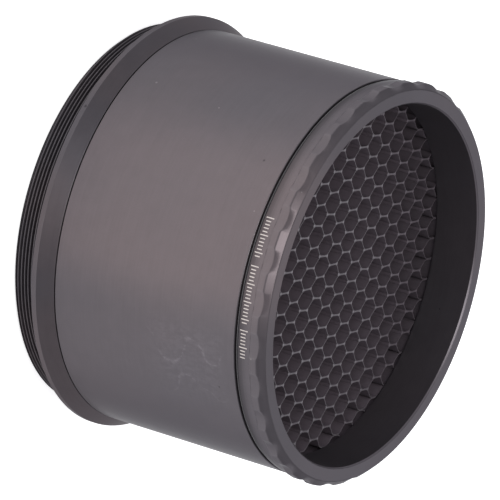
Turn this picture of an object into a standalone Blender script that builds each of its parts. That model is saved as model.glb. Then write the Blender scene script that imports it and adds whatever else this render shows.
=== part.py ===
"""Screw-in honeycomb anti-reflection hood, as its separate pieces.

The hood's axis is Z.  Its origin is the middle of the rear thread's end face, which is the
face that it stands on; the open front with the grip ring looks up.  Sizes are in metres.
"""
import math

import bmesh
import bpy
import numpy as np
from mathutils import Matrix

MM = 0.001

# --- driving dimensions -----------------------------------------------------------------
BODY_RADIUS = 31.75 * MM            # 63.5 mm tube
FLANGE_RADIUS = 33.35 * MM          # 66.7 mm, the widest place
THREAD_RADIUS = 31.0 * MM           # male thread at the rear, 40 turns per inch
THREAD_PITCH = 0.635 * MM
THREAD_DEPTH = 0.39 * MM
THREAD_CRESTS = 6
CREST_WIDTH = 0.14 * MM
OPTIC_BORE = 28.3 * MM              # clear radius behind the core
FRONT_BORE = 29.05 * MM             # clear radius of the grip ring

FLANGE_REAR_Z = 5.13 * MM           # shoulder that seats on the optic's bell
SEAT_INNER = 31.2 * MM              # the bell's rim meets the shoulder outside this radius
SEAT_RELIEF = 0.05 * MM             # the rest of the flange's rear face is turned back
RIM_TOP_Z = 6.03 * MM
SEAM_Z = 8.44 * MM                  # joint line between adapter and tube
TUBE_TOP_Z = 41.85 * MM
RING_REAR_Z = 42.50 * MM            # back of the grip ring, above its seal
GRIP_REAR_Z = 44.86 * MM            # step up from the marked land to the grip band
GRIP_FRONT_Z = 46.20 * MM           # the 45 degree nose starts here
TOP_Z = 47.31 * MM

SPIGOT_RADIUS = 30.4 * MM           # male sides of the two inner threads
SOCKET_RADIUS = 30.6 * MM           # and their sockets in the tube
ADAPTER_SPIGOT_TOP_Z = 14.3 * MM
SOCKET_FLOOR_Z = 14.5 * MM
RING_SPIGOT_END_Z = 39.60 * MM

CORE_REAR_Z = 20.35 * MM
CORE_TOP_Z = 39.40 * MM             # 19.05 mm deep core
CORE_SEAT_RADIUS = 30.0 * MM
SLEEVE_OUTER = 29.9 * MM
SLEEVE_INNER = 29.6 * MM
CORE_RADIUS = 29.45 * MM            # the ribbons are cut to this radius
CELL_WIDTH = 3.37 * MM              # between two bonded walls of one cell
ROW_PITCH = 3.29 * MM               # from one row of cells to the next, along the ribbons
BOND_LENGTH = 2.03 * MM             # glued stretch of two ribbons
FOIL = 0.12 * MM
BOND_GAP = 0.04 * MM                # room for the glue between two foils
CORE_TURN = math.radians(13.5)      # the ribbons run square to this direction
CELL_ACROSS = -1.585 * MM           # one cell's middle, across and along the ribbons
CELL_ALONG = 2.095 * MM
SHORTEST_RIBBON = 4.0 * MM

LAND_RADIUS = 31.85 * MM            # plain land behind the grip
LAND_TAPER = 0.13 * MM              # the land falls away by this towards the seal,
LAND_TAPER_Z = 43.50 * MM           # from here back
GRIP_RADIUS = 32.32 * MM
FACE_OUTER = 31.27 * MM
BORE_CHAMFER = 0.24 * MM
FLUTES = 30
FIRST_LAND = math.radians(1.7)      # middle of one raised land
FLUTE_FLOOR = 31.90 * MM
FLUTE_CUTTER = 6.10 * MM            # radius of the cutter that makes each flute
FLUTE_REAR_Z = 44.78 * MM
CUTTER_OVERRUN = 2.0 * MM           # how far a cutter runs past the front face

FIT = 0.05 * MM                     # clearance round the seals and the sleeve
SEAM_GAP = 0.15 * MM
FRONT_SEAL_INNER = 30.5 * MM
FRONT_SEAL_OUTER = 31.50 * MM       # sunk 0.25 mm below the tube
EDGE = 0.12 * MM                    # small turned edge breaks
GROOVE_FLOOR = 30.2 * MM            # relief between thread and flange
THREAD_END_Z = 4.10 * MM
SEAL_SIDES = 8
TURNED_STEPS = 60
CUTTER_SIDES = 28


# --- tools ------------------------------------------------------------------------------
def clear_scene():
    """Remove whatever the open file holds."""
    for old in list(bpy.data.objects):
        bpy.data.objects.remove(old, do_unlink=True)


def collection(name):
    """Return a new collection under the scene's own."""
    made = bpy.data.collections.new(name)
    bpy.context.scene.collection.children.link(made)
    return made


def finish(name, colour, roughness, metallic):
    """Return a Principled material."""
    material = bpy.data.materials.new(name)
    material.use_nodes = True
    shader = material.node_tree.nodes["Principled BSDF"]
    shader.inputs["Base Color"].default_value = (*colour, 1.0)
    shader.inputs["Roughness"].default_value = roughness
    shader.inputs["Metallic"].default_value = metallic
    return material


def add(name, mesh, where, material=None):
    """Put a mesh in a collection as a named object."""
    made = bpy.data.objects.new(name, mesh)
    where.objects.link(made)
    if material:
        mesh.materials.append(material)
    return made


def turned(name, profile, where, material, steps=TURNED_STEPS, start=0.0):
    """Turn a closed profile of (radius, z) about Z.

    The profile starts at its outer top corner, runs down its outer side and comes back up the
    inner one.  The Screw modifier makes the ring, from the angle start.
    """
    points = [(radius * math.cos(start), radius * math.sin(start), z) for radius, z in profile]
    count = len(points)
    mesh = bpy.data.meshes.new(name)
    mesh.from_pydata(points, [(i, (i + 1) % count) for i in range(count)], [])
    made = add(name, mesh, where, material)
    screw = made.modifiers.new("Turn", "SCREW")
    screw.axis = "Z"
    screw.angle = 2 * math.pi
    screw.steps = steps
    screw.render_steps = steps
    screw.use_merge_vertices = True
    screw.merge_threshold = 1e-6
    screw.use_smooth_shade = True
    return made


def seal_profile(inner, outer, low, high):
    """Return the oval section of a squeezed round seal, from its top round its outer side."""
    radius_mid, z_mid = (inner + outer) / 2, (low + high) / 2
    half_width, half_height = (outer - inner) / 2, (high - low) / 2
    angles = [math.pi / 2 - 2 * math.pi * (i + 0.5) / SEAL_SIDES for i in range(SEAL_SIDES)]
    stretch = 1 / math.cos(math.pi / SEAL_SIDES)
    return [(radius_mid + half_width * math.cos(a) * stretch,
             z_mid + half_height * math.sin(a) * stretch) for a in angles]


# --- pieces -----------------------------------------------------------------------------
def thread_profile():
    """Return the ridges of the rear thread, from its root at the relief down to the end face.

    Each ridge is a flat crest between two 60 degree flanks.
    """
    flank = (THREAD_PITCH - CREST_WIDTH) / 2
    points = []
    for index in range(THREAD_CRESTS):
        top = THREAD_END_Z - index * THREAD_PITCH
        points += [(THREAD_RADIUS - THREAD_DEPTH, top),
                   (THREAD_RADIUS, top - flank),
                   (THREAD_RADIUS, top - flank - CREST_WIDTH)]
    last = THREAD_END_Z - THREAD_CRESTS * THREAD_PITCH
    return points + [(THREAD_RADIUS - THREAD_DEPTH, last), (THREAD_RADIUS - 2 * THREAD_DEPTH, 0.0)]


def adapter_ring(where, material):
    """Make the rear ring: male thread, relief, flange with its cone, and a spigot for the tube."""
    cone_end = SEAM_Z - SEAM_GAP / 2
    outside = [
        (SPIGOT_RADIUS, ADAPTER_SPIGOT_TOP_Z),
        (SPIGOT_RADIUS, cone_end),
        (BODY_RADIUS - EDGE, cone_end),
        (BODY_RADIUS, cone_end - EDGE),
        (FLANGE_RADIUS, RIM_TOP_Z),
        (FLANGE_RADIUS, FLANGE_REAR_Z + EDGE),
        (FLANGE_RADIUS - EDGE, FLANGE_REAR_Z),
        (SEAT_INNER, FLANGE_REAR_Z),
        (SEAT_INNER - SEAT_RELIEF, FLANGE_REAR_Z + SEAT_RELIEF),
        (GROOVE_FLOOR, FLANGE_REAR_Z + SEAT_RELIEF),
        (GROOVE_FLOOR, THREAD_END_Z + EDGE),
    ]
    inside = [(OPTIC_BORE, 0.0), (OPTIC_BORE, ADAPTER_SPIGOT_TOP_Z)]
    turned("adapter_ring", outside + thread_profile() + inside, where, material)


def body_tube(where, material):
    """Make the tube: sockets for both inner threads, and a shoulder that the core sits on."""
    low = SEAM_Z + SEAM_GAP / 2
    core_floor = CORE_REAR_Z - FIT
    socket_top = RING_SPIGOT_END_Z - FIT
    profile = [
        (BODY_RADIUS - EDGE, TUBE_TOP_Z),
        (BODY_RADIUS, TUBE_TOP_Z - EDGE),
        (BODY_RADIUS, low + EDGE),
        (BODY_RADIUS - EDGE, low),
        (SOCKET_RADIUS, low),
        (SOCKET_RADIUS, SOCKET_FLOOR_Z),
        (OPTIC_BORE, SOCKET_FLOOR_Z),
        (OPTIC_BORE, core_floor),
        (CORE_SEAT_RADIUS, core_floor),
        (CORE_SEAT_RADIUS, socket_top),
        (SOCKET_RADIUS, socket_top),
        (SOCKET_RADIUS, TUBE_TOP_Z),
    ]
    turned("body_tube", profile, where, material)


def flute_cutter(index, where):
    """Make the round bar that mills one flute, parallel to the axis."""
    angle = FIRST_LAND + (index + 0.5) * 2 * math.pi / FLUTES
    reach = FLUTE_FLOOR + FLUTE_CUTTER
    height = TOP_Z + CUTTER_OVERRUN - FLUTE_REAR_Z
    turn = Matrix.Rotation(angle, 4, "Z")
    middle = Matrix.Translation((reach, 0.0, FLUTE_REAR_Z + height / 2))
    mesh = bpy.data.meshes.new("flute_cutter")
    shape = bmesh.new()
    bmesh.ops.create_cone(shape, cap_ends=True, segments=CUTTER_SIDES, radius1=FLUTE_CUTTER,
                          radius2=FLUTE_CUTTER, depth=height, matrix=turn @ middle)
    shape.to_mesh(mesh)
    shape.free()
    return add(f"flute_cutter_{index:02d}", mesh, where)


def front_ring(where, cutters, material):
    """Make the grip ring: spigot, plain land, raised fluted band, nose, face and bore."""
    profile = [
        (FACE_OUTER, TOP_Z),
        (GRIP_RADIUS, GRIP_FRONT_Z),
        (GRIP_RADIUS, GRIP_REAR_Z),
        (LAND_RADIUS, GRIP_REAR_Z),
        (LAND_RADIUS, LAND_TAPER_Z),
        (LAND_RADIUS - LAND_TAPER, RING_REAR_Z + EDGE),
        (LAND_RADIUS - LAND_TAPER - EDGE, RING_REAR_Z),
        (SPIGOT_RADIUS, RING_REAR_Z),
        (SPIGOT_RADIUS, RING_SPIGOT_END_Z),
        (FRONT_BORE, RING_SPIGOT_END_Z),
        (FRONT_BORE, TOP_Z - BORE_CHAMFER),
        (FRONT_BORE + BORE_CHAMFER, TOP_Z),
    ]
    made = turned("front_ring", profile, where, material, start=FIRST_LAND)
    for index in range(FLUTES):
        cutter = flute_cutter(index, cutters)
        cutter.hide_render = True
        cutter.display_type = "WIRE"
    cut = made.modifiers.new("Flutes", "BOOLEAN")
    cut.operation = "DIFFERENCE"
    cut.operand_type = "COLLECTION"
    cut.collection = cutters
    cut.solver = "EXACT"
    return made


def seals(where, material):
    """Make the seal in the rear thread's relief, and the one under the grip ring."""
    front = seal_profile(FRONT_SEAL_INNER, FRONT_SEAL_OUTER,
                         TUBE_TOP_Z + FIT, RING_REAR_Z - FIT)
    rear = seal_profile(GROOVE_FLOOR + FIT, THREAD_RADIUS,
                        THREAD_END_Z + EDGE + FIT, FLANGE_REAR_Z - FIT)
    turned("thread_o_ring", rear, where, material)
    return turned("front_o_ring", front, where, material)


def core_sleeve(where, material):
    """Make the thin band that the ribbons' ends are bonded into."""
    profile = [(SLEEVE_OUTER, CORE_TOP_Z), (SLEEVE_OUTER, CORE_REAR_Z),
               (SLEEVE_INNER, CORE_REAR_Z), (SLEEVE_INNER, CORE_TOP_Z)]
    turned("core_sleeve", profile, where, material)


def ribbon_route(plane):
    """Return one ribbon's zigzag as rows of (across, along).

    The ribbon lies flat against bond plane number plane for one glued stretch, crosses to the
    next bond plane, lies flat there, and crosses back.  Its foil stays on its own side of both.
    """
    low_wall = CELL_ACROSS + CELL_WIDTH / 2 + plane * CELL_WIDTH / 2
    inset = (FOIL + BOND_GAP) / 2
    sides = (low_wall + inset, low_wall + CELL_WIDTH / 2 - inset)
    first = -math.ceil(CORE_RADIUS / ROW_PITCH) - 2
    route = []
    for row in range(first, -first + 1):
        side = sides[(row + plane) % 2]
        middle = CELL_ALONG + row * ROW_PITCH
        route += [(side, middle - BOND_LENGTH / 2), (side, middle + BOND_LENGTH / 2)]
    return np.array(route)


def inside_core(route):
    """Return the longest stretch of a route inside the core's circle, with its ends on it."""
    within = np.hypot(route[:, 0], route[:, 1]) < CORE_RADIUS
    if not within.any():
        return route[:0]
    runs = np.split(np.arange(len(route)), np.flatnonzero(np.diff(within)) + 1)
    longest = max((run for run in runs if within[run[0]]), key=len)
    kept = route[longest]
    ends = []
    for inner, outer in ((longest[0], longest[0] - 1), (longest[-1], longest[-1] + 1)):
        start, step = route[inner], route[outer] - route[inner]
        square = step @ step
        slope = start @ step
        root = math.sqrt(slope ** 2 - square * (start @ start - CORE_RADIUS ** 2))
        ends.append(start + (root - slope) / square * step)
    return np.vstack([ends[0], kept, ends[1]])


def core_ribbons(where, material):
    """Make the corrugated foil ribbons, one open strip with Solidify for each."""
    across = np.array([math.cos(CORE_TURN), math.sin(CORE_TURN)])
    along = np.array([-math.sin(CORE_TURN), math.cos(CORE_TURN)])
    reach = math.ceil(2 * CORE_RADIUS / CELL_WIDTH) + 1
    routes = [inside_core(ribbon_route(plane)) for plane in range(-reach, reach)]
    routes = [r for r in routes if len(r) and np.ptp(r[:, 1]) > SHORTEST_RIBBON]
    for number, route in enumerate(routes, start=1):
        flat = route[:, :1] * across + route[:, 1:] * along
        count = len(flat)
        points = [(x, y, z) for z in (CORE_REAR_Z, CORE_TOP_Z) for x, y in flat]
        faces = [(i, i + 1, count + i + 1, count + i) for i in range(count - 1)]
        name = f"core_ribbon_{number:02d}"
        mesh = bpy.data.meshes.new(name)
        mesh.from_pydata(points, [], faces)
        ribbon = add(name, mesh, where, material)
        wall = ribbon.modifiers.new("Foil", "SOLIDIFY")
        wall.thickness = FOIL
        wall.offset = 0.0
        wall.use_even_offset = True


def main():
    """Build the hood."""
    clear_scene()
    parts = collection("honeycomb_hood")
    cutters = collection("cutters")
    anodised = finish("black_anodised", (0.075, 0.07, 0.078), 0.42, 0.75)
    foil = finish("black_foil", (0.05, 0.045, 0.055), 0.5, 0.6)
    rubber = finish("black_rubber", (0.018, 0.018, 0.02), 0.7, 0.0)
    adapter_ring(parts, anodised)
    body_tube(parts, anodised)
    ring = front_ring(parts, cutters, anodised)
    front_seal = seals(parts, rubber)
    core_sleeve(parts, foil)
    core_ribbons(parts, foil)

    screw_axis = bpy.data.objects.new("grip_ring_axis", None)
    parts.objects.link(screw_axis)
    for moving in (ring, front_seal):
        moving.parent = screw_axis


main()
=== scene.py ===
"""Looks of a screw-in honeycomb hood: anodised tube and rings, seals, foil core, index marks.

The script is laid out as an add-on with one operator for each piece and one for the stage, and
is run as a script.  The hood's axis is Z and its origin is the middle of its rear end face.
"""

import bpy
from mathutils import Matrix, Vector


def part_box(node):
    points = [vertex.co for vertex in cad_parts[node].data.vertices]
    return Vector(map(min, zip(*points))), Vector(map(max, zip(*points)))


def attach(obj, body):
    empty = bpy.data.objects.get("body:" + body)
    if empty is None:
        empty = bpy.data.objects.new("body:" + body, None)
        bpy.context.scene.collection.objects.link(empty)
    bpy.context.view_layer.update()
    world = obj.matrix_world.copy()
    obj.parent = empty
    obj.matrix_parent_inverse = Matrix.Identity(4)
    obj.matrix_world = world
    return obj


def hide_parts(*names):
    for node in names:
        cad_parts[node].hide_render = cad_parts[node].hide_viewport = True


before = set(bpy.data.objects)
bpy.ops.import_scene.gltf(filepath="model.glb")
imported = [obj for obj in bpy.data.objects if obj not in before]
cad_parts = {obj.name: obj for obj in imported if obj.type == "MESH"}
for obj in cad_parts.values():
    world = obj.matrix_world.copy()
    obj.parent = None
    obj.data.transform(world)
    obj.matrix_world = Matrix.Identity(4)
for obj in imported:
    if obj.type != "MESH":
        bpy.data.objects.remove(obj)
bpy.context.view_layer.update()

import math

import bpy
import numpy as np
from bpy.props import FloatProperty, FloatVectorProperty, IntProperty, PointerProperty
from mathutils import Euler, Vector

bl_info = {
    "name": "Honeycomb hood",
    "version": (1, 0, 0),
    "blender": (4, 5, 0),
    "location": "View3D > Sidebar > Hood",
    "description": "Builds the visible pieces of a screw-in honeycomb hood",
    "category": "Object",
}

MM = 0.001
ARC_STEPS = 5                 # pieces of the curve at every eased corner
HOLD = 0.03 * MM              # a flat's last point lies this far from its eased corner
RING_COLUMNS = 360            # points round a plain turned piece
ADAPTER_COLUMNS = 288
SEAL_COLUMNS = 300
SEAL_SECTION = 28             # points round a seal's own section
CREASE = math.radians(40)     # edges sharper than this stay sharp
SPIGOT_THREAD_DEPTH = 0.2 * MM
SOCKET_CREST = 0.15 * MM
EDGE_TINT = (0.30, 0.30, 0.31)   # how little the anodised metal brightens at a glancing view

_, adapter_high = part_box("adapter_ring")
tube_low, tube_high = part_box("body_tube")
grip_low, grip_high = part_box("front_ring")
core_low, core_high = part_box("core_ribbon_17")
front_seal_low, front_seal_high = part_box("front_o_ring")
rear_seal_low, rear_seal_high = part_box("thread_o_ring")
sleeve_low, sleeve_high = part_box("core_sleeve")
RIBBON_NODES = sorted(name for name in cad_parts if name.startswith("core_ribbon_"))


def length(name, description, default):
    """Return a length property in metres."""
    return FloatProperty(name=name, description=description, default=default,
                         unit="LENGTH", subtype="DISTANCE", precision=5)


def colour(name, description, default):
    """Return a colour property."""
    return FloatVectorProperty(name=name, description=description, default=default,
                               size=3, min=0.0, max=1.0, subtype="COLOR")


class HoodSizes(bpy.types.PropertyGroup):
    """Sizes of the hood's pieces."""

    body_radius: length("Tube radius", "Outside of the tube", tube_high.x)
    flange_radius: length("Flange radius", "Outside of the rear flange", adapter_high.x)
    optic_bore: length("Rear bore", "Clear radius behind the core", 28.3 * MM)
    front_bore: length("Front bore", "Clear radius of the grip ring", 29.05 * MM)
    spigot_radius: length("Spigot radius", "Male side of the inner threads", 30.4 * MM)
    socket_radius: length("Socket radius", "Female side of the inner threads", 30.6 * MM)
    thread_radius: length("Thread radius", "Crests of the rear thread", 31.0 * MM)
    thread_pitch: length("Thread pitch", "Pitch of the rear thread", 0.635 * MM)
    ring_pitch: length("Ring thread pitch", "Pitch of the inner threads", 0.75 * MM)
    thread_depth: length("Thread depth", "Depth of the rear thread", 0.39 * MM)
    grip_radius: length("Grip radius", "Outside of the grip's lands", 32.32 * MM)
    land_radius: length("Marked land radius", "Plain land behind the grip", 31.85 * MM)
    face_radius: length("Face radius", "Outside of the flat front face", 31.27 * MM)
    flutes: IntProperty(name="Flutes", description="Flutes round the grip", default=30, min=6)
    flute_floor: length("Flute floor", "Smallest radius in a flute", 31.90 * MM)
    flute_cutter: length("Flute cutter", "Radius of the cutter of the flutes", 6.10 * MM)
    cell_width: length("Cell width", "Between two glued walls of a cell", 3.37 * MM)
    row_pitch: length("Row pitch", "From one row of cells to the next", 3.29 * MM)
    bond_length: length("Bond length", "Glued stretch of two foils", 2.03 * MM)
    foil: length("Foil", "Thickness of the foil", 0.12 * MM)
    glue_gap: length("Glue gap", "Between two glued foils", 0.04 * MM)
    core_turn: FloatProperty(name="Core turn", description="Turn of the core about the axis",
                             default=math.radians(13.5), subtype="ANGLE", unit="ROTATION")


class HoodColours(bpy.types.PropertyGroup):
    """Colours of the hood's finishes."""

    anodised: colour("Anodised, cool", "Cool tone of the anodised metal", (0.096, 0.088, 0.097))
    # also the tint of the painted highlight along the front of the tube
    anodised_warm: colour("Anodised, warm", "Warm tone of the metal", (0.112, 0.094, 0.099))
    worn: colour("Worn edges", "Metal where its edges have rubbed", (0.17, 0.16, 0.17))
    foil: colour("Foil", "Black foil of the core", (0.105, 0.085, 0.100))
    foil_edge: colour("Foil edge", "Cut edge of the foil", (0.11, 0.10, 0.11))
    glue: colour("Glue", "Node glue between the foils", (0.165, 0.15, 0.165))
    rubber: colour("Rubber", "Seals", (0.045, 0.042, 0.046))
    marking: colour("Marking", "Index marks", (0.56, 0.51, 0.48))
    floor: colour("Floor", "Studio floor", (0.93, 0.93, 0.93))


class HoodStage(bpy.types.PropertyGroup):
    """Camera and light of the stage."""

    camera_place: FloatVectorProperty(
        name="Camera place", description="Where the camera stands", size=3,
        default=(0.000185, -0.821904, 0.501472), unit="LENGTH", subtype="TRANSLATION")
    camera_turn: FloatVectorProperty(
        name="Camera turn", description="How the camera is turned", size=3,
        default=tuple(math.radians(a) for a in (-25.9619, -55.9999, 120.4265)),
        unit="ROTATION", subtype="EULER")
    lens: FloatProperty(name="Lens", description="Focal length", default=436.9, unit="CAMERA")
    ambient: FloatProperty(name="Ambient", description="Strength of the white tent", default=0.57)
    floor_glow: FloatProperty(name="Floor glow", description="Light of the floor", default=0.74)


# --- meshes ---
def grid_faces(rows, columns, wrap_rows=True, wrap_columns=True):
    """Return the quads of a grid, point (i, j) being number i * columns + j.

    A quad's normal is the row direction crossed with the column direction.
    """
    i = np.arange(rows if wrap_rows else rows - 1)[:, None]
    j = np.arange(columns if wrap_columns else columns - 1)[None, :]
    below, beside = (i + 1) % rows, (j + 1) % columns
    quads = np.broadcast_arrays(i * columns + j, below * columns + j,
                                below * columns + beside, i * columns + beside)
    return np.stack(quads, axis=-1).reshape(-1, 4)


def bar_faces(bars, rows):
    """Return the quads of equal closed bars, each of four-sided sections in rows."""
    caps = np.array([[0, 1, 2, 3], [3, 2, 1, 0]])
    caps[1] += (rows - 1) * 4
    one = np.vstack([grid_faces(rows, 4, wrap_rows=False), caps])
    return (one[None] + np.arange(bars)[:, None, None] * rows * 4).reshape(-1, 4)


def mesh_piece(name, points, faces, body, material, nodes=(), wear=None, sharp=None):
    """Put whole arrays of points and quads into a new piece that rides on a body."""
    mesh = bpy.data.meshes.new(name)
    mesh.vertices.add(len(points))
    mesh.vertices.foreach_set("co", np.ascontiguousarray(points, np.float32).ravel())
    mesh.loops.add(faces.size)
    mesh.loops.foreach_set("vertex_index", np.ascontiguousarray(faces, np.int32).ravel())
    mesh.polygons.add(len(faces))
    mesh.polygons.foreach_set("loop_start", np.arange(0, faces.size, 4, dtype=np.int32))
    mesh.polygons.foreach_set("loop_total", np.full(len(faces), 4, np.int32))
    mesh.polygons.foreach_set("use_smooth", np.ones(len(faces), bool))
    mesh.update(calc_edges=True)
    if mesh.validate():
        raise ValueError(f"{name}: the mesh had faults")
    if sharp is not None:
        mesh.set_sharp_from_angle(angle=sharp)
    if wear is not None:
        layer = mesh.attributes.new("wear", "FLOAT", "POINT")
        layer.data.foreach_set("value", np.ascontiguousarray(wear, np.float32).ravel())
    mesh.materials.append(material)
    piece = bpy.data.objects.new(name, mesh)
    bpy.context.scene.collection.objects.link(piece)
    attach(piece, body)
    if nodes:
        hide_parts(*nodes)
    return piece


def eased(corners, hold=HOLD, steps=ARC_STEPS):
    """Round the inner corners of an open line, and return its points and their wear.

    corners holds (first, second, fillet radius) for each corner.  A corner becomes the rational
    quadratic curve between its two tangent points, weighted with the sine of half the corner's
    angle, which is a circle's arc.  With hold, one more point lies just outside each end of the
    arc.  Wear is the sine bump along each arc that stands proud.
    """
    corners = np.asarray(corners, float)
    point, fillet = corners[1:-1, :2], corners[1:-1, 2]
    back, ahead = corners[:-2, :2] - point, corners[2:, :2] - point
    back_length, ahead_length = np.hypot(*back.T), np.hypot(*ahead.T)
    back, ahead = back / back_length[:, None], ahead / ahead_length[:, None]
    half = np.arccos(np.clip((back * ahead).sum(1), -1, 1)) / 2
    room = 0.45 * np.minimum(back_length, ahead_length)
    reach = np.minimum(fillet / np.tan(half), room)[:, None]
    start, end = point + back * reach, point + ahead * reach
    t = np.linspace(0, 1, steps + 1)[None, :, None]
    weight = np.sin(half)[:, None, None]
    parts = ((1 - t) ** 2, 2 * weight * t * (1 - t), t ** 2)
    arc = (parts[0] * start[:, None] + parts[1] * point[:, None] + parts[2] * end[:, None])
    arc /= parts[0] + parts[1] + parts[2]
    proud = back[:, 0] * ahead[:, 1] - back[:, 1] * ahead[:, 0] > 0
    wear = np.where(proud[:, None], np.sin(math.pi * t[:, :, 0]), 0.0)
    if hold:
        extra = np.minimum(reach + hold, room[:, None] * 1.05)
        arc = np.concatenate([(point + back * extra)[:, None], arc,
                              (point + ahead * extra)[:, None]], axis=1)
        wear = np.pad(wear, ((0, 0), (1, 1)))
    line = np.vstack([corners[0, :2], arc.reshape(-1, 2), corners[-1, :2]])
    return line, np.pad(wear.ravel(), 1)


def ladder(radius, high, low, step):
    """Return evenly spaced points down a straight wall, with no wear."""
    count = max(2, round((high - low) / step) + 1)
    heights = np.linspace(high, low, count)
    return np.stack([np.full(count, radius), heights], axis=1), np.zeros(count)


def outline(*parts):
    """Join (points, wear) parts into one closed outline."""
    return np.vstack([part[0] for part in parts]), np.concatenate([part[1] for part in parts])


def round_steps(count):
    """Return count equal angles round the axis."""
    return np.arange(count) * 2 * math.pi / count


def turned_points(radius, height, angles):
    """Return the surface (r cos a, r sin a, z) for r and z given over rows and angles."""
    radius, height = np.broadcast_arrays(radius, height)
    return np.stack([radius * np.cos(angles), radius * np.sin(angles),
                     np.broadcast_to(height, radius.shape)], axis=-1).reshape(-1, 3)


def soft_step(value, low, high):
    """Return the cubic step from 0 at low to 1 at high."""
    t = np.clip((value - low) / (high - low), 0, 1)
    return t * t * (3 - 2 * t)


def thread_groove(height, angles, pitch, crest_at, crest_share, zone):
    """Return a helical groove's depth from 0 on its crest to 1 at its root.

    The groove depends on u = z / pitch - angle / 2 pi, so it climbs one pitch each turn.  A
    triangle wave of u is cut off flat at the crest and at the root, and the groove fades in over
    half a pitch at both ends of its zone (low, high).
    """
    u = (height - crest_at) / pitch - angles / (2 * math.pi)
    wave = 2 * np.abs(u - np.round(u))
    groove = soft_step(wave, crest_share, 1 - crest_share * 0.6) * 0.35
    groove += 0.65 * np.clip((wave - crest_share) / (1 - 1.6 * crest_share), 0, 1)
    low, high = zone
    fade = pitch / 2
    return groove * soft_step(height, low, low + fade) * soft_step(-height, -high, -high + fade)


def turned_piece(name, shape, body, material, nodes, columns=RING_COLUMNS):
    """Turn a closed outline of (radius, height) about the axis."""
    points, wear = shape
    angles = round_steps(columns)
    grid = turned_points(points[:, :1] + 0 * angles, points[:, 1:], angles)
    return mesh_piece(name, grid, grid_faces(len(points), columns), body, material,
                      nodes, np.repeat(wear, columns))


# --- materials ---
class Wire:
    """One output of a node; maths written on it in Python adds Math nodes."""

    def __init__(self, finish, socket):
        self.finish = finish
        self.socket = socket

    def math(self, operation, *terms):
        """Return the Math node operation of the terms."""
        return self.finish.node("ShaderNodeMath", {"operation": operation}, dict(enumerate(terms)))

    def __add__(self, other):
        return self.math("ADD", self, other)

    def __sub__(self, other):
        return self.math("SUBTRACT", self, other)

    def __rsub__(self, other):
        return self.math("SUBTRACT", other, self)

    def __mul__(self, other):
        return self.math("MULTIPLY", self, other)

    def __truediv__(self, other):
        return self.math("DIVIDE", self, other)

    __radd__ = __add__
    __rmul__ = __mul__


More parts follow.
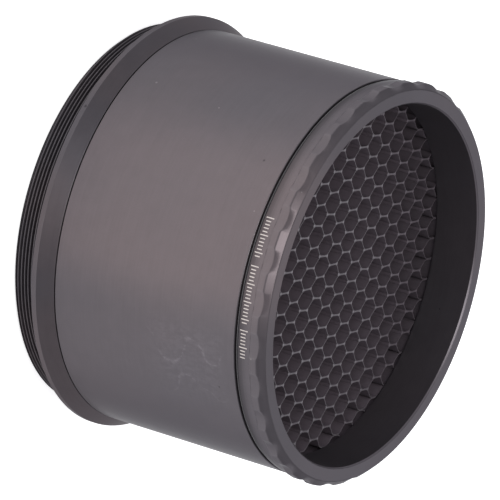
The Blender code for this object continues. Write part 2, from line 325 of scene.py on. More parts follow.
class Finish:
    """A material being made: its node tree and the one method that adds nodes to it."""

    def __init__(self, name):
        self.material = bpy.data.materials.new(name)
        self.material.use_nodes = True
        self.tree = self.material.node_tree
        self.shader = self.tree.nodes["Principled BSDF"]
        self.place = self.node("ShaderNodeTexCoord", {}, {}, "Object")

    def node(self, kind, settings, sockets, output=0):
        """Add a node: its settings first, then the values and links of its sockets."""
        made = self.tree.nodes.new(kind)
        for key, value in settings.items():
            setattr(made, key, value)
        for key, value in sockets.items():
            self.feed(made.inputs[key], value)
        return Wire(self, made.outputs[output])

    def feed(self, socket, value):
        """Link a wire to a socket, or set its value."""
        if isinstance(value, Wire):
            self.tree.links.new(value.socket, socket)
        elif socket.type == "RGBA":
            socket.default_value = (*value[:3], 1.0)
        else:
            socket.default_value = value

    def set(self, **sockets):
        """Feed the Principled shader's sockets, with _ for the spaces in their names."""
        for key, value in sockets.items():
            self.feed(self.shader.inputs[key.replace("_", " ")], value)
        return self.material

    def axes(self, vector):
        """Return the x, y and z of a vector."""
        split = self.node("ShaderNodeSeparateXYZ", {}, {0: vector})
        outputs = split.socket.node.outputs
        return tuple(Wire(self, socket) for socket in outputs)

    def stretched(self, x, y, z):
        """Return the place scaled along each axis."""
        return self.node("ShaderNodeVectorMath", {"operation": "MULTIPLY"},
                         {0: self.place, 1: (x, y, z)})

    def noise(self, size, detail=2.0, rough=0.5, vector=None):
        """Return smooth noise about 0.5 with features of the given size in metres."""
        return self.node("ShaderNodeTexNoise", {"noise_dimensions": "3D"},
                         {"Vector": vector or self.place, "Scale": 1 / size, "Detail": detail,
                          "Roughness": rough})

    def step(self, value, low, high, first=0.0, last=1.0):
        """Return a smooth step from first at low to last at high."""
        return self.node("ShaderNodeMapRange", {"interpolation_type": "SMOOTHSTEP"},
                         {0: value, 1: low, 2: high, 3: first, 4: last})

    def between(self, value, rise, fall):
        """Return 1 between two zones: it climbs over rise (low, high) and drops over fall."""
        return self.step(value, *rise) * self.step(value, *fall, 1.0, 0.0)

    def blend(self, factor, first, last):
        """Return a colour from first at factor 0 to last at factor 1."""
        return self.node("ShaderNodeMix", {"data_type": "RGBA"},
                         {0: factor, 6: first, 7: last}, 2)

    def shade(self, tint, factor):
        """Return a colour with its brightness multiplied by a value."""
        return self.node("ShaderNodeVectorMath", {"operation": "SCALE"},
                         {0: tint, "Scale": factor})

    def bump(self, height, depth, under=None):
        """Return normals tilted by a height that runs from 0 to 1 over depth metres."""
        sockets = {"Strength": 1.0, "Distance": depth, "Height": height}
        if under is not None:
            sockets["Normal"] = under
        return self.node("ShaderNodeBump", {}, sockets)

    def spots(self, places):
        """Return 1 on round spots given as (degrees, height, radius, size) in millimetres."""
        total = 0.0
        for degrees, height, radius, size in places:
            turn = math.radians(degrees)
            point = (radius * math.cos(turn) * MM, radius * math.sin(turn) * MM, height * MM)
            apart = self.node("ShaderNodeVectorMath", {"operation": "DISTANCE"},
                              {0: self.place, 1: point}, "Value")
            total = total + self.step(apart, size * 0.3 * MM, size * 0.7 * MM, 1.0, 0.0)
        return total

    def specks(self, spacing, radius, share, shift):
        """Return 1 on small spots: some of the random points of a cell pattern."""
        moved = self.node("ShaderNodeVectorMath", {"operation": "ADD"},
                          {0: self.place, 1: (shift, shift * 0.7, -shift)})
        cells = self.node("ShaderNodeTexVoronoi", {"feature": "F1"},
                          {"Vector": moved, "Scale": 1 / spacing})
        cell_colour = Wire(self, cells.socket.node.outputs["Color"])
        pick, size, _ = self.axes(cell_colour)
        reach = (size * 0.7 + 0.3) * (radius / spacing)
        near = self.step(cells / reach, 0.7, 1.1, 1.0, 0.0)
        return near * self.step(pick, 1 - share, 1 - share + 0.001)


# Spots of dust and dirt: degrees round the axis, height, radius and size in millimetres.
DARK_SPOTS = ((245.0, 38.1, 31.75, 0.34), (245.4, 5.75, 33.3, 0.42))
PALE_SPOTS = ((232.5, 25.7, 31.75, 0.26), (229.8, 13.1, 31.75, 0.34), (204.0, 10.9, 31.75, 0.3),
              (259.8, 40.4, 31.75, 0.24), (251.0, 46.7, 31.8, 0.2))
DIRT = (0.012, 0.011, 0.012)
DUST = (0.30, 0.28, 0.28)
# Zones over which a tone climbs or drops: squared radius, height, and angle in radians.
# Painted shade darkens the front face, the land beside the seal and the thread; a painted
# highlight brightens the nose and a band along the front of the tube, and painted rim light its
# two sides.  The scuff zones hold rubbed swirls.
BORE_SQUARE = ((29.4 * MM) ** 2, (29.1 * MM) ** 2)
FACE_SHADE_HEIGHT = (47.15 * MM, 47.27 * MM)
NOSE_LIGHT_RISE, NOSE_LIGHT_FALL = (46.35 * MM, 46.9 * MM), (47.2 * MM, 47.28 * MM)
SEAL_SHADE_RISE, SEAL_SHADE_FALL = (42.1 * MM, 42.3 * MM), (42.5 * MM, 44.4 * MM)
THREAD_SHADE = (4.9 * MM, 5.2 * MM)
HIGHLIGHT_RISE, HIGHLIGHT_FALL = (-2.30, -1.86), (-1.40, -1.08)
RIM_LIGHT_FALL, RIM_LIGHT_RISE = (-3.0, -2.75), (-0.5, -0.1)
SCUFF_TURN = ((-1.17, -1.08), (-0.86, -0.60))
SCUFF_HEIGHT = ((24 * MM, 30 * MM), (38 * MM, 41 * MM))


def anodised_finish(name, colours, roughness, tint_size, scuffs_and_painted_light):
    """Return black anodised metal: broad tint, fine turning lines, grain, dust and wear.

    The bore is paler, painted shade darkens the front face and the land beside the seal's
    groove, and the nose has a painted highlight.  Where scuffs are asked for, a painted highlight,
    brighter and warmer, runs along the front of the tube, painted rim light brightens its two
    sides, and rubbed swirls lie near its front end; otherwise painted shade lies over the thread.
    """
    made = Finish(name)
    broad = made.noise(tint_size, 1.5, 0.45)
    lines = made.noise(0.35 * MM, 2.0, 0.6, made.stretched(0.04, 0.04, 1.0))
    grain = made.noise(0.16 * MM, 1.0)
    mottle = made.noise(2.6 * MM, 3.0, 0.6)
    tone = 0.80 + 0.14 * lines + 0.16 * mottle + 0.10 * grain
    dull = roughness - 0.04 + 0.08 * mottle + 0.05 * lines
    x, y, z = made.axes(made.place)
    inside = made.step(x * x + y * y, *BORE_SQUARE)
    outside = 1.0 - inside
    # painted shade on the land outside the bore, deepest beside the seal's groove, fading towards
    # the grip
    seal_groove_shade = made.step(z, *SEAL_SHADE_RISE) * made.step(z, *SEAL_SHADE_FALL, 0.45, 0.0)
    # the bore is paler, and painted shade darkens the front face
    tone = tone * (1.03 + 0.42 * inside) * made.step(z, *FACE_SHADE_HEIGHT, 1.0, 0.90)
    # a painted highlight on the nose, outside the bore
    tone = tone * (1.0 + 0.07 * made.between(z, NOSE_LIGHT_RISE, NOSE_LIGHT_FALL) * outside)
    tone = tone * (1.0 - seal_groove_shade * outside)
    warm = 0.8 * made.step(broad, 0.30, 0.70)
    if scuffs_and_painted_light:
        turn = y.math("ARCTAN2", y, x)
        # a painted highlight in a band of angles along the front of the tube and the grip ring
        band = made.between(turn, HIGHLIGHT_RISE, HIGHLIGHT_FALL)
        # painted rim light on the two sides of the tube and the grip ring, beyond the highlight
        sides = made.step(turn, *RIM_LIGHT_FALL, 1.0, 0.0) + made.step(turn, *RIM_LIGHT_RISE)
        tone = tone * (0.92 + 0.15 * band + 0.08 * sides)
        # the painted highlight is warmer too
        warm = 0.35 * warm + 0.65 * band
        fine = made.noise(0.8 * MM, 3.0, 0.75, made.stretched(1.0, 1.0, 0.6))
        swirl = made.noise(9.0 * MM, 1.5, 0.5) - 0.5
        ridge = made.step(swirl.math("ABSOLUTE", swirl), 0.0, 0.022, 1.0, 0.0)
        patch = made.between(turn, *SCUFF_TURN) * made.between(z, *SCUFF_HEIGHT)
        haze = patch * (0.35 + ridge) * made.step(fine, 0.38, 0.66)
        tone = tone + 0.36 * haze
        dull = dull + 0.06 * haze
    else:
        tone = tone * made.step(z, *THREAD_SHADE, 0.72, 0.86)
    tint = made.blend(warm, colours.anodised, colours.anodised_warm)
    wear = made.node("ShaderNodeAttribute", {"attribute_name": "wear"}, {}, "Fac")
    rub = wear * (0.45 + 0.55 * made.step(made.noise(1.7 * MM, 2.0), 0.35, 0.65))
    coat = made.blend(rub * 0.55, made.shade(tint, tone), colours.worn)
    dark = made.specks(7.0 * MM, 0.22 * MM, 0.08, 0.013) + made.spots(DARK_SPOTS)
    pale = made.specks(6.0 * MM, 0.14 * MM, 0.18, 0.031) + made.spots(PALE_SPOTS)
    coat = made.blend(dark * 0.6, coat, DIRT)
    coat = made.blend(pale * 0.5, coat, DUST)
    relief = made.bump(grain, 0.0022 * MM, made.bump(lines, 0.0016 * MM))
    return made.set(Base_Color=coat, Roughness=dull - 0.05 * rub + 0.2 * pale, Metallic=0.75,
                    Specular_Tint=EDGE_TINT, Normal=relief)


def rubber_finish(colours):
    """Return matt rubber with a fine grain and dust on its crown."""
    made = Finish("seal_rubber")
    grain = made.noise(0.12 * MM, 2.0)
    dust = made.step(made.noise(0.5 * MM, 3.0, 0.7), 0.55, 0.75)
    coat = made.blend(dust * 0.25, colours.rubber, (0.16, 0.15, 0.15))
    return made.set(Base_Color=coat, Roughness=0.32 + 0.2 * grain,
                    Normal=made.bump(grain, 0.003 * MM))


# How far a place of the core lies towards its far side, as y times and x times these.
# The far side lies in a painted shadow of the grip ring's wall, over these spans.
FAR_Y, FAR_X = 0.86, -0.5
EDGE_SHADOW_SPAN = (2 * MM, 25 * MM)
WALL_SHADOW_SPAN = (8 * MM, 27 * MM)


def foil_finish(colours, top):
    """Return black foil: roll lines along its height, and a bright cut edge at its top.

    Both darken towards the far side of the core, under a painted shadow of the grip ring's wall.
    """
    made = Finish("core_foil")
    x, y, z = made.axes(made.place)
    far = y * FAR_Y + x * FAR_X
    roll = made.noise(0.22 * MM, 2.0, 0.6, made.stretched(1.0, 1.0, 0.12))
    blotch = made.noise(1.1 * MM, 2.0, 0.6)
    # painted shadow of the grip ring's wall: the walls darken towards the far side
    tone = (0.7 + 0.35 * roll + 0.3 * blotch) * made.step(far, *WALL_SHADOW_SPAN, 1.0, 0.7)
    cut = made.step(z, top - 0.10 * MM, top - 0.02 * MM)
    nick = made.step(made.noise(0.6 * MM, 2.0, 0.7), 0.3, 0.6, 0.45, 1.0)
    # the bright cut edge fades under the same painted shadow
    bright = cut * nick * made.step(far, *EDGE_SHADOW_SPAN, 1.0, 0.15)
    coat = made.blend(bright, made.shade(colours.foil, tone), colours.foil_edge)
    return made.set(Base_Color=coat, Roughness=0.62 + 0.15 * blotch + 0.10 * cut, Metallic=0.0,
                    Normal=made.bump(roll, 0.006 * MM))


def glue_finish(colours, top):
    """Return cured glue: pale at its rubbed top, and as dark as the foil down the cells."""
    made = Finish("core_glue")
    x, y, z = made.axes(made.place)
    blotch = made.noise(0.4 * MM, 2.0, 0.6)
    near = made.step(y * FAR_Y + x * FAR_X, *EDGE_SHADOW_SPAN, 1.0, 0.15)
    # the rubbed top is pale on the near side and fades under a painted shadow of the grip ring's
    # wall
    rubbed = near * made.step(z, top - 0.16 * MM, top - 0.03 * MM)
    coat = made.shade(made.blend(rubbed, colours.foil, colours.glue), 0.65 + 0.7 * blotch)
    return made.set(Base_Color=coat, Roughness=0.45 + 0.3 * blotch,
                    Normal=made.bump(blotch, 0.02 * MM))


def marking_finish(colours):
    """Return pale laser marking with an uneven, slightly burnt tone."""
    made = Finish("index_marking")
    burn = made.noise(0.25 * MM, 2.0, 0.6)
    fine = made.noise(0.06 * MM, 1.0)
    coat = made.shade(colours.marking, 0.72 + 0.4 * burn + 0.12 * fine)
    return made.set(Base_Color=coat, Roughness=0.75 + 0.15 * fine,
                    Normal=made.bump(fine, 0.004 * MM))


def floor_finish(colours, glow):
    """Return the pale studio floor, which gives off a little light itself."""
    made = Finish("studio_floor")
    drift = made.noise(0.5, 1.0)
    coat = made.shade(colours.floor, 0.99 + 0.02 * drift)
    return made.set(Base_Color=coat, Roughness=0.9, Emission_Color=(1.0, 1.0, 1.0),
                    Emission_Strength=glow)


# --- pieces ---
def build_adapter(sizes, material):
    """Turn the rear ring.

    Its outline runs from the spigot's top down the flange's cone, round the rim, along the
    relief and the thread to the end face, and up the bore.  In the thread the radius is the
    crest radius less depth times the helical groove.
    """
    rear = 5.13 * MM
    rim_top = 6.03 * MM
    relief = 30.2 * MM
    seam = tube_low.z - 0.15 * MM
    thread_top = 4.05 * MM
    thread_low = 0.45 * MM
    top = [(sizes.optic_bore + 1 * MM, adapter_high.z, 0),
           (sizes.spigot_radius, adapter_high.z, 0.1 * MM),
           (sizes.spigot_radius, seam, 0.05 * MM),
           (sizes.body_radius, seam, 0.1 * MM),
           (sizes.flange_radius, rim_top, 0.12 * MM),
           (sizes.flange_radius, rear, 0.14 * MM),
           (relief, rear, 0.1 * MM),
           (relief, thread_top + 0.12 * MM, 0.1 * MM),
           (sizes.thread_radius, thread_top, 0.06 * MM),
           (sizes.thread_radius, thread_top - 0.12 * MM, 0)]
    bottom = [(sizes.thread_radius, thread_low, 0),
              (sizes.thread_radius - 0.55 * MM, 0.0, 0.08 * MM),
              (sizes.optic_bore, 0.0, 0.15 * MM),
              (sizes.optic_bore, adapter_high.z, 0.1 * MM),
              (sizes.optic_bore + 0.8 * MM, adapter_high.z, 0)]
    points, wear = outline(eased(top),
                           ladder(sizes.thread_radius, thread_top - 0.15 * MM,
                                  thread_low + 0.03 * MM, 0.03 * MM),
                           eased(bottom))
    angles = round_steps(ADAPTER_COLUMNS)
    radius, height = points[:, :1], points[:, 1:]
    outer = (radius > relief + 0.2 * MM) & (height < thread_top + 0.1 * MM)
    groove = thread_groove(height, angles + math.pi / 2, sizes.thread_pitch, 0.90 * MM, 0.22,
                           (-0.5 * MM, thread_top + 0.2 * MM))
    lift = np.where(outer, groove * sizes.thread_depth, 0.0)
    crest = np.where(outer, (1 - groove) * 0.3, 0.0) + wear[:, None] * np.where(outer, 0.2, 0.8)
    grid = turned_points(np.maximum(radius - lift, np.where(outer, relief, 0.0)), height, angles)
    return mesh_piece("adapter_ring_turned", grid, grid_faces(len(points), ADAPTER_COLUMNS),
                      "hood", material, ["adapter_ring"], crest)


def build_tube(sizes, material):
    """Turn the tube, with the grip ring's helical socket thread inside its front end."""
    socket_floor = 14.5 * MM
    core_floor = sleeve_low.z - 0.05 * MM
    seat = 30.0 * MM
    thread_low = grip_low.z - 0.05 * MM
    mouth = tube_high.z - 0.25 * MM
    outer = [(seat + 1.2 * MM, tube_high.z, 0),
             (sizes.body_radius, tube_high.z, 0.16 * MM),
             (sizes.body_radius, tube_low.z, 0.12 * MM),
             (sizes.socket_radius, tube_low.z, 0.08 * MM),
             (sizes.socket_radius, socket_floor, 0.05 * MM),
             (sizes.optic_bore, socket_floor, 0.1 * MM),
             (sizes.optic_bore, core_floor, 0.1 * MM),
             (seat, core_floor, 0.04 * MM),
             (seat, thread_low, 0.06 * MM),
             (sizes.socket_radius, thread_low, 0.04 * MM),
             (sizes.socket_radius, thread_low + 0.15 * MM, 0)]
    ending = [(sizes.socket_radius, mouth, 0),
              (sizes.socket_radius, tube_high.z, 0.08 * MM),
              (seat + 1.0 * MM, tube_high.z, 0)]
    wall, none = ladder(sizes.socket_radius, mouth - 0.05 * MM, thread_low + 0.2 * MM, 0.06 * MM)
    points, wear = outline(eased(outer), (wall[::-1], none), eased(ending))
    angles = round_steps(RING_COLUMNS)
    radius, height = points[:, :1], points[:, 1:]
    inside = (np.abs(radius - sizes.socket_radius) < 0.01 * MM) & (height > thread_low)
    groove = thread_groove(height, angles, sizes.ring_pitch, 0.0, 0.2, (thread_low, mouth))
    grid = turned_points(radius - np.where(inside, groove * SOCKET_CREST, 0.0), height, angles)
    return mesh_piece("body_tube_turned", grid, grid_faces(len(points), RING_COLUMNS), "hood",
                      material, ["body_tube"], np.repeat(wear, RING_COLUMNS))


def flute_columns(flutes, edge):
    """Return the angles of the grip's columns, close together at the flutes' edges.

    One flute's share of the circle runs from the middle of a land to the middle of the next.
    """
    half = math.pi / flutes
    near = math.radians(0.42)
    side = np.concatenate([np.linspace(0, edge - near, 4)[:-1],
                           np.linspace(edge - near, edge + near, 7),
                           np.linspace(edge + near, half, 3)[1:]])
    one = np.concatenate([-side[:0:-1], side[:-1]])
    centres = (np.arange(flutes)[:, None] + 0.5) * 2 * half
    return (centres + one).ravel(), np.tile(one, flutes)


def build_grip_ring(sizes, material):
    """Turn the grip ring and mill its flutes.

    Over the grip band and the nose the radius is the soft smallest of the turned radius and of
    the cutter's circle, D cos d - sqrt(c c - D D sin d sin d), where d is the angle from a
    flute's middle, c the cutter's radius and D its distance from the axis.
    """
    first_land = math.radians(1.7)
    front = grip_high.z
    ring_rear = front_seal_high.z + 0.05 * MM
    nose_rear, grip_rear, taper_front = 46.20 * MM, 44.86 * MM, 43.50 * MM
    flute_end = (44.60 * MM, 44.72 * MM)
    distance = sizes.flute_floor + sizes.flute_cutter
    cosine = ((sizes.grip_radius ** 2 + distance ** 2 - sizes.flute_cutter ** 2)
              / (2 * sizes.grip_radius * distance))
    angles, offset = flute_columns(sizes.flutes, math.acos(cosine))
    angles = angles + first_land
    head = [(sizes.front_bore + 1.3 * MM, front, 0),
            (sizes.face_radius, front, 0.40 * MM),
            (sizes.grip_radius, nose_rear, 0.55 * MM),
            (sizes.grip_radius, grip_rear + 0.10 * MM, 0.16 * MM),
            (sizes.land_radius + 0.02 * MM, grip_rear - 0.10 * MM, 0.16 * MM),
            (sizes.land_radius, grip_rear - 0.31 * MM, 0)]
    land = [(sizes.land_radius, grip_rear - 0.48 * MM, 0),
            (sizes.land_radius, taper_front, 0.8 * MM),
            (sizes.land_radius - 0.13 * MM, ring_rear, 0.12 * MM),
            (sizes.spigot_radius, ring_rear, 0.05 * MM),
            (sizes.spigot_radius, ring_rear - 0.12 * MM, 0)]
    tail = [(sizes.spigot_radius, grip_low.z + 0.22 * MM, 0),
            (sizes.spigot_radius, grip_low.z, 0.16 * MM),
            (sizes.front_bore, grip_low.z, 0.1 * MM),
            (sizes.front_bore, front - 0.24 * MM, 0.03 * MM),
            (sizes.front_bore + 0.24 * MM, front, 0.03 * MM),
            (sizes.front_bore + 1.1 * MM, front, 0)]
    points, wear = outline(eased(head), eased(land),
                           ladder(sizes.spigot_radius, ring_rear - 0.16 * MM,
                                  grip_low.z + 0.26 * MM, 0.065 * MM), eased(tail))
    radius, height = points[:, :1], points[:, 1:]
    swing = distance * np.sin(offset)
    circle = distance * np.cos(offset) - np.sqrt(
        np.maximum(sizes.flute_cutter ** 2 - swing ** 2, 0.0))
    circle = np.where(np.abs(swing) < sizes.flute_cutter * 0.98, circle, 2 * distance)
    softness = 0.035 * MM
    gap = np.clip((circle - radius) / softness, -60, 60)
    milled = radius - softness * np.log1p(np.exp(-gap))
    edge = 4 * np.exp(-gap) / (1 + np.exp(-gap)) ** 2
    outside = radius > sizes.front_bore + 1.0 * MM
    cut = np.where(outside, soft_step(height, *flute_end), 0.0)
    shaped = radius + (milled - radius) * cut
    screw = (np.abs(radius - sizes.spigot_radius) < 0.01 * MM) & (height < ring_rear)
    groove = thread_groove(height, angles, sizes.ring_pitch, 0.0, 0.2,
                           (grip_low.z + 0.1 * MM, ring_rear))
    shaped = shaped - np.where(screw, groove * SPIGOT_THREAD_DEPTH, 0.0)
    rub = 0.35 * np.maximum(wear[:, None] * (gap > 0), edge * cut)
    grid = turned_points(shaped, height, angles)
    return mesh_piece("grip_ring_milled", grid, grid_faces(len(points), len(angles)),
                      "grip_ring", material, ["front_ring"], rub)


def build_seal(name, low, high, inner, body, material, node):
    """Turn a squeezed seal: an ellipse r = middle + a cos t, z = middle - b sin t."""
    t = round_steps(SEAL_SECTION)
    width, tall = (high.x - inner) / 2, (high.z - low.z) / 2
    radius = (high.x + inner) / 2 + width * np.cos(t)
    height = (high.z + low.z) / 2 - tall * np.sin(t)
    shape = np.stack([radius, height], axis=1), np.zeros(SEAL_SECTION)
    return turned_piece(name, shape, body, material, [node], SEAL_COLUMNS)


def build_sleeve(material):
    """Turn the thin band round the foil core."""
    middle = (sleeve_low.z + sleeve_high.z) / 2
    inner, outer = 29.6 * MM, 29.9 * MM
    corners = [(outer, middle, 0), (outer, sleeve_low.z, 0.06 * MM),
               (inner, sleeve_low.z, 0.06 * MM), (inner, sleeve_high.z, 0.06 * MM),
               (outer, sleeve_high.z, 0.06 * MM), (outer, middle + 0.1 * MM, 0)]
    return turned_piece("core_sleeve_band", eased(corners), "hood", material,
                        ["core_sleeve"])


CELL_MIDDLE = (-1.585 * MM, 2.095 * MM)   # one cell's middle, across and along the ribbons
CORE_RADIUS = 29.45 * MM
BEND = 1.05 * MM                          # radius of the foil's bends
SHORTEST_RIBBON = 4.0 * MM
UNEVEN = 0.052 * MM                       # height of each wave that moves the core
# Knocked places of the core: x, y, push along x, push along y and size, all in millimetres.
KINKS = ((-19.9, 15.4, 0.34, -0.10, 0.75), (22.5, 15.9, -0.30, 0.16, 0.8),
         (4.3, -22.6, 0.10, 0.16, 0.9), (-8.6, 5.0, -0.12, 0.08, 0.8))


def core_frame(sizes):
    """Return the directions across and along the ribbons."""
    turn = sizes.core_turn
    return (np.array([math.cos(turn), math.sin(turn)]),
            np.array([-math.sin(turn), math.cos(turn)]))


def hand_laid(flat):
    """Return points of the core moved by its small unevenness.

    Five crossed sine waves, 5 to 10 mm long, move each point a little, and less near the sleeve.
    """
    waves = np.random.default_rng(11)
    reach = np.hypot(flat[..., 0], flat[..., 1]) / CORE_RADIUS
    keep = 1 - soft_step(reach, 0.86, 1.0)
    moved = flat.copy()
    for _ in range(5):
        heading, phase, other = waves.uniform(0, 2 * math.pi, 3)
        number = 2 * math.pi / waves.uniform(5.2 * MM, 10.5 * MM)
        wave = np.sin((flat[..., 0] * math.cos(heading) + flat[..., 1] * math.sin(heading))
                      * number + phase)
        push = UNEVEN * wave * keep
        moved[..., 0] += push * math.cos(other)
        moved[..., 1] += push * math.sin(other)
    return moved


def knocked(points, top):
    """Return points of the core with its few knocked places pushed over near the top.

    Each knock is a bell curve round its middle that dies away over 0.8 mm of depth.
    """
    moved = points.copy()
    for x, y, push_x, push_y, size in KINKS:
        apart = np.hypot(points[..., 0] - x * MM, points[..., 1] - y * MM) / (size * MM)
        share = np.exp(-apart ** 2) * np.exp((points[..., 2] - top) / (0.8 * MM))
        moved[..., 0] += push_x * MM * share
        moved[..., 1] += push_y * MM * share
        moved[..., 2] -= 0.12 * MM * share
    return moved


def ribbon_route(sizes, plane):
    """Return one ribbon's route as points (across, along).

    The ribbon lies flat on bond plane number plane, crosses to the next one, lies flat there and
    crosses back, with a bend of one radius at each change.
    """
    low_wall = CELL_MIDDLE[0] + (1 + plane) * sizes.cell_width / 2
    inset = (sizes.foil + sizes.glue_gap) / 2
    sides = np.array([low_wall + inset, low_wall + sizes.cell_width / 2 - inset])
    reach = math.ceil(CORE_RADIUS / sizes.row_pitch) + 2
    rows = np.arange(-reach, reach + 1)
    side = np.repeat(sides[(rows + plane) % 2], 2)
    middle = np.repeat(CELL_MIDDLE[1] + rows * sizes.row_pitch, 2)
    along = middle + np.tile([-0.5, 0.5], len(rows)) * sizes.bond_length
    corners = np.stack([side, along, np.full(len(side), BEND)], axis=1)
    return eased(corners, hold=0.0, steps=4)[0]


def inside_core(route):
    """Return the longest stretch of a route inside the core's circle, with ends on it."""
    within = np.hypot(*route.T) < CORE_RADIUS
    if not within.any():
        return route[:0]
    runs = np.split(np.arange(len(route)), np.flatnonzero(np.diff(within)) + 1)
    longest = max((run for run in runs if within[run[0]]), key=len)
    ends = []
    for inner, outer in ((longest[0], longest[0] - 1), (longest[-1], longest[-1] + 1)):
        start, step = route[inner], route[outer] - route[inner]
        square, slope = step @ step, start @ step
        root = math.sqrt(slope ** 2 - square * (start @ start - CORE_RADIUS ** 2))
        ends.append(start + (root - slope) / square * step)
    return np.vstack([ends[0], route[longest], ends[1]])


def build_ribbon(name, node, route, sizes, material):
    """Give a route its foil: half a foil to each side, over the core's height.

    Column k of the grid is one point of the foil's section, up one side and down the other, and
    row i is one point of the route, moved along the route's normal.
    """
    across, along = core_frame(sizes)
    flat = hand_laid(route[:, :1] * across + route[:, 1:] * along)
    ahead = np.gradient(flat, axis=0)
    ahead /= np.hypot(*ahead.T)[:, None]
    normal = np.stack([ahead[:, 1], -ahead[:, 0]], axis=1)
    top, low = core_high.z, core_low.z
    levels = np.array([low, low + 0.55 * (top - low), top - 3.0 * MM, top - 1.6 * MM,
                       top - 0.8 * MM, top - 0.35 * MM, top - 0.06 * MM, top])
    height = np.concatenate([levels, levels[::-1]])
    side = np.repeat([0.5, -0.5], len(levels)) * sizes.foil
    ring = len(height)
    grid = np.empty((len(flat), ring, 3))
    grid[..., :2] = flat[:, None] + normal[:, None] * side[None, :, None]
    grid[..., 2] = height
    grid = knocked(grid, top)
    faces = grid_faces(len(flat), ring, wrap_rows=False)
    k = np.arange(len(levels) - 1)
    start = np.stack([k, k + 1, ring - 2 - k, ring - 1 - k], axis=1)
    end = start[:, ::-1] + (len(flat) - 1) * ring
    faces = np.vstack([faces, start, end])
    return mesh_piece(name, grid.reshape(-1, 3), faces, "hood", material, [node],
                      sharp=CREASE)


def build_glue(sizes, material):
    """Fill each bond with glue: thin between the foils, a fillet where they part.

    The half width at s along the bond is 0.46 of the gap, plus 0.92 of the rise of the foils'
    bend beyond the bend's start, bend - sqrt(bend bend - (s - start) (s - start)).
    """
    across, along = core_frame(sizes)
    reach = math.ceil(2 * CORE_RADIUS / sizes.cell_width) + 1
    planes, rows = np.meshgrid(np.arange(-reach, reach), np.arange(-reach, reach), indexing="ij")
    glued = (rows + planes) % 2 == 1
    middle = np.stack([CELL_MIDDLE[0] + (2 + planes[glued]) * sizes.cell_width / 2,
                       CELL_MIDDLE[1] + rows[glued] * sizes.row_pitch], axis=1)
    middle = middle[np.hypot(*middle.T) < CORE_RADIUS - 1.3 * MM]
    crossing = math.atan2(sizes.cell_width / 2 - sizes.foil - sizes.glue_gap,
                          sizes.row_pitch - sizes.bond_length)
    bend_start = sizes.bond_length / 2 - BEND * math.tan(crossing / 2)
    s = np.array([-1.25, -1.18, -1.05, -0.9, -0.7, -0.4, 0.4, 0.7, 0.9, 1.05, 1.18, 1.25]) * MM
    past = np.clip(np.abs(s) - bend_start, 0, BEND * 0.75)
    inner_bend = BEND - sizes.foil / 2
    half = 0.46 * sizes.glue_gap + 0.92 * (inner_bend - np.sqrt(inner_bend ** 2 - past ** 2))
    half[[0, -1]] *= 0.55
    sign, level = np.array([1, 1, -1, -1]), np.array([0, 1, 1, 0])
    top = core_high.z - 0.015 * MM
    offset = s[None, :, None, None] * along + (half[None, :, None, None] * across
                                               * sign[None, None, :, None])
    grid = np.empty((len(middle), len(s), 4, 3))
    centre = middle[:, :1] * across + middle[:, 1:] * along
    grid[..., :2] = hand_laid(centre[:, None, None] + offset)
    grid[..., 2] = np.where(level == 1, top, core_low.z + 0.02 * MM)
    grid = knocked(grid, core_high.z)
    return mesh_piece("core_glue", grid.reshape(-1, 3), bar_faces(len(middle), len(s)), "hood",
                      material, sharp=CREASE)


MARKED = ((260.4, 272.4), (274.2, 290.7), (292.4, 300.8))   # the groups' angles in degrees


def build_marks(sizes, material):
    """Lay the index marks round the land: three groups, a mark each degree, each fifth long.

    Each mark is a curved plate: its inner and outer faces lie at two radii, its sides at two
    angles and its ends at two heights.
    """
    groups = [np.arange(*span) for span in MARKED]
    centres = np.concatenate(groups)
    number = np.concatenate([np.arange(len(group)) for group in groups])
    half_angle = 0.08 * MM / sizes.land_radius
    low = np.where(number % 5 == 0, 42.86, 43.05) * MM
    high = np.where(number % 5 == 0, 44.24, 43.92) * MM
    turn = np.linspace(-1, 1, 3) * half_angle
    angle = np.radians(centres)[:, None, None] + turn[None, :, None]
    radius = np.array([-0.03, 0.012, 0.012, -0.03]) * MM + sizes.land_radius
    height = np.stack([low, low, high, high], axis=1)
    grid = np.empty((len(centres), 3, 4, 3))
    grid[..., 0] = radius * np.cos(angle)
    grid[..., 1] = radius * np.sin(angle)
    grid[..., 2] = height[:, None, :]
    return mesh_piece("index_marks", grid.reshape(-1, 3), bar_faces(len(centres), len(turn)),
                      "grip_ring", material, sharp=CREASE)


# --- stage ---
MIDDLE = (0.0, 0.0, 0.025)   # what the lamps above the hood aim at
LIGHTS = (   # name, place, aim, size, power, colour
    ("back_high", (0.0, 0.95, 0.60), MIDDLE, 0.8, 2.2, (0.98, 1.0, 1.02)),
    ("front_high", (-0.08, -0.60, 1.00), MIDDLE, 0.6, 4.9, (1.01, 1.0, 0.99)),
    ("card_front", (-0.01, -0.14, 0.002), (-0.01, -0.14, 1.0), 0.18, 0.016, (1.2, 1.0, 0.8)),
)


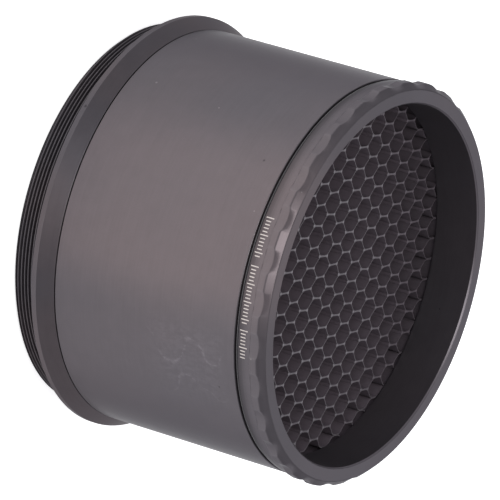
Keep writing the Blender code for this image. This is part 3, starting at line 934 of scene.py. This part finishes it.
def build_stage(settings, colours):
    """Lay the floor, and set up the white tent, its lights and the camera."""
    scene = bpy.context.scene
    side, level = 3.0, -0.05 * MM
    corners = np.array([(-1, -1), (1, -1), (1, 1), (-1, 1)]) * side
    floor = bpy.data.meshes.new("studio_floor")
    floor.from_pydata([(x, y, level) for x, y in corners], [], [(0, 1, 2, 3)])
    floor.materials.append(floor_finish(colours, settings.floor_glow))
    ground = bpy.data.objects.new("studio_floor", floor)
    scene.collection.objects.link(ground)
    world = bpy.data.worlds.new("white_tent")
    world.use_nodes = True
    background = world.node_tree.nodes["Background"]
    background.inputs["Color"].default_value = (0.98, 0.98, 1.04, 1.0)
    background.inputs["Strength"].default_value = settings.ambient
    scene.world = world
    for name, place, aim, size, power, tint in LIGHTS:
        lamp = bpy.data.lights.new(name, "AREA")
        lamp.shape = "SQUARE"
        lamp.size, lamp.energy, lamp.color = size, power, tint
        holder = bpy.data.objects.new(name, lamp)
        holder.location = place
        way = Vector(aim) - Vector(place)
        holder.rotation_euler = way.to_track_quat("-Z", "Y").to_euler()
        holder.visible_camera = False
        scene.collection.objects.link(holder)
    lens = bpy.data.cameras.new("camera")
    lens.lens, lens.sensor_width = settings.lens, 36.0
    lens.clip_start, lens.clip_end = 0.01, 20.0
    lens.dof.use_dof = False
    camera = bpy.data.objects.new("camera", lens)
    camera.location = settings.camera_place
    camera.rotation_euler = Euler(settings.camera_turn, "XYZ")
    scene.collection.objects.link(camera)
    scene.camera = camera
    scene.view_settings.view_transform = "Standard"


# --- operators ---
class PieceOperator:
    """What the operators share: their options, and the finish of the tube and the grip ring."""

    bl_options = {"REGISTER", "UNDO"}

    def metal(self, context):
        """Return the finish with scuffs, painted highlight and painted rim light, made once."""
        made = bpy.data.materials.get("anodised_satin")
        return made or anodised_finish("anodised_satin", context.scene.hood_colours, 0.33,
                                       24 * MM, True)


class HOOD_OT_stage(PieceOperator, bpy.types.Operator):
    """Lay the floor and set up the lights and the camera"""

    bl_idname = "hood.stage"
    bl_label = "Stage"

    def execute(self, context):
        build_stage(context.scene.hood_stage, context.scene.hood_colours)
        return {"FINISHED"}


class HOOD_OT_adapter(PieceOperator, bpy.types.Operator):
    """Turn the rear adapter ring with its thread and flange"""

    bl_idname = "hood.adapter"
    bl_label = "Adapter ring"

    def execute(self, context):
        metal = anodised_finish("anodised_adapter", context.scene.hood_colours, 0.36,
                                18 * MM, False)
        build_adapter(context.scene.hood_sizes, metal)
        return {"FINISHED"}


class HOOD_OT_tube(PieceOperator, bpy.types.Operator):
    """Turn the body tube"""

    bl_idname = "hood.tube"
    bl_label = "Body tube"

    def execute(self, context):
        build_tube(context.scene.hood_sizes, self.metal(context))
        return {"FINISHED"}


class HOOD_OT_grip_ring(PieceOperator, bpy.types.Operator):
    """Turn the grip ring and mill its flutes"""

    bl_idname = "hood.grip_ring"
    bl_label = "Grip ring"

    def execute(self, context):
        build_grip_ring(context.scene.hood_sizes, self.metal(context))
        return {"FINISHED"}


class HOOD_OT_seals(PieceOperator, bpy.types.Operator):
    """Make the two rubber seals"""

    bl_idname = "hood.seals"
    bl_label = "Seals"

    def execute(self, context):
        rubber = rubber_finish(context.scene.hood_colours)
        build_seal("front_seal", front_seal_low, front_seal_high, 30.5 * MM, "ring_seal",
                   rubber, "front_o_ring")
        build_seal("thread_seal", rear_seal_low, rear_seal_high, 30.25 * MM, "hood", rubber,
                   "thread_o_ring")
        return {"FINISHED"}


class HOOD_OT_core(PieceOperator, bpy.types.Operator):
    """Bend the foil ribbons of the honeycomb core and make its sleeve"""

    bl_idname = "hood.core"
    bl_label = "Honeycomb core"

    def execute(self, context):
        sizes = context.scene.hood_sizes
        foil = foil_finish(context.scene.hood_colours, core_high.z)
        build_sleeve(foil)
        reach = math.ceil(2 * CORE_RADIUS / sizes.cell_width) + 1
        routes = [inside_core(ribbon_route(sizes, plane)) for plane in range(-reach, reach)]
        routes = [r for r in routes if len(r) and np.ptp(r[:, 1]) > SHORTEST_RIBBON]
        if len(routes) != len(RIBBON_NODES):
            raise ValueError(f"{len(routes)} ribbons for {len(RIBBON_NODES)} nodes")
        for node, route in zip(RIBBON_NODES, routes):
            build_ribbon(node.replace("core_", "foil_"), node, route, sizes, foil)
        return {"FINISHED"}


class HOOD_OT_glue(PieceOperator, bpy.types.Operator):
    """Fill the bonds between the foils with glue"""

    bl_idname = "hood.glue"
    bl_label = "Core glue"

    def execute(self, context):
        build_glue(context.scene.hood_sizes,
                   glue_finish(context.scene.hood_colours, core_high.z))
        return {"FINISHED"}


class HOOD_OT_marks(PieceOperator, bpy.types.Operator):
    """Lay the index marks on the grip ring's land"""

    bl_idname = "hood.marks"
    bl_label = "Index marks"

    def execute(self, context):
        build_marks(context.scene.hood_sizes, marking_finish(context.scene.hood_colours))
        return {"FINISHED"}


OPERATORS = (HOOD_OT_stage, HOOD_OT_adapter, HOOD_OT_tube, HOOD_OT_grip_ring, HOOD_OT_seals,
             HOOD_OT_core, HOOD_OT_glue, HOOD_OT_marks)


class HOOD_PT_panel(bpy.types.Panel):
    """The hood's operators and settings."""

    bl_idname = "HOOD_PT_panel"
    bl_label = "Honeycomb hood"
    bl_space_type = "VIEW_3D"
    bl_region_type = "UI"
    bl_category = "Hood"

    def draw(self, context):
        for operator in OPERATORS:
            self.layout.operator(operator.bl_idname)
        for group in (context.scene.hood_sizes, context.scene.hood_colours,
                      context.scene.hood_stage):
            box = self.layout.box()
            for key in group.__annotations__:
                box.prop(group, key)


GROUPS = {"hood_sizes": HoodSizes, "hood_colours": HoodColours, "hood_stage": HoodStage}


def register():
    """Register the settings, the operators and the panel."""
    for key, group in GROUPS.items():
        bpy.utils.register_class(group)
        setattr(bpy.types.Scene, key, PointerProperty(type=group))
    for made in (*OPERATORS, HOOD_PT_panel):
        bpy.utils.register_class(made)


def unregister():
    """Undo register."""
    for made in (HOOD_PT_panel, *reversed(OPERATORS)):
        bpy.utils.unregister_class(made)
    for key, group in GROUPS.items():
        delattr(bpy.types.Scene, key)
        bpy.utils.unregister_class(group)


def main():
    """Build every piece and the stage."""
    register()
    bpy.ops.hood.stage()
    bpy.ops.hood.adapter()
    bpy.ops.hood.tube()
    bpy.ops.hood.grip_ring()
    bpy.ops.hood.seals()
    bpy.ops.hood.core()
    bpy.ops.hood.glue()
    bpy.ops.hood.marks()


if __name__ == "__main__":
    main()
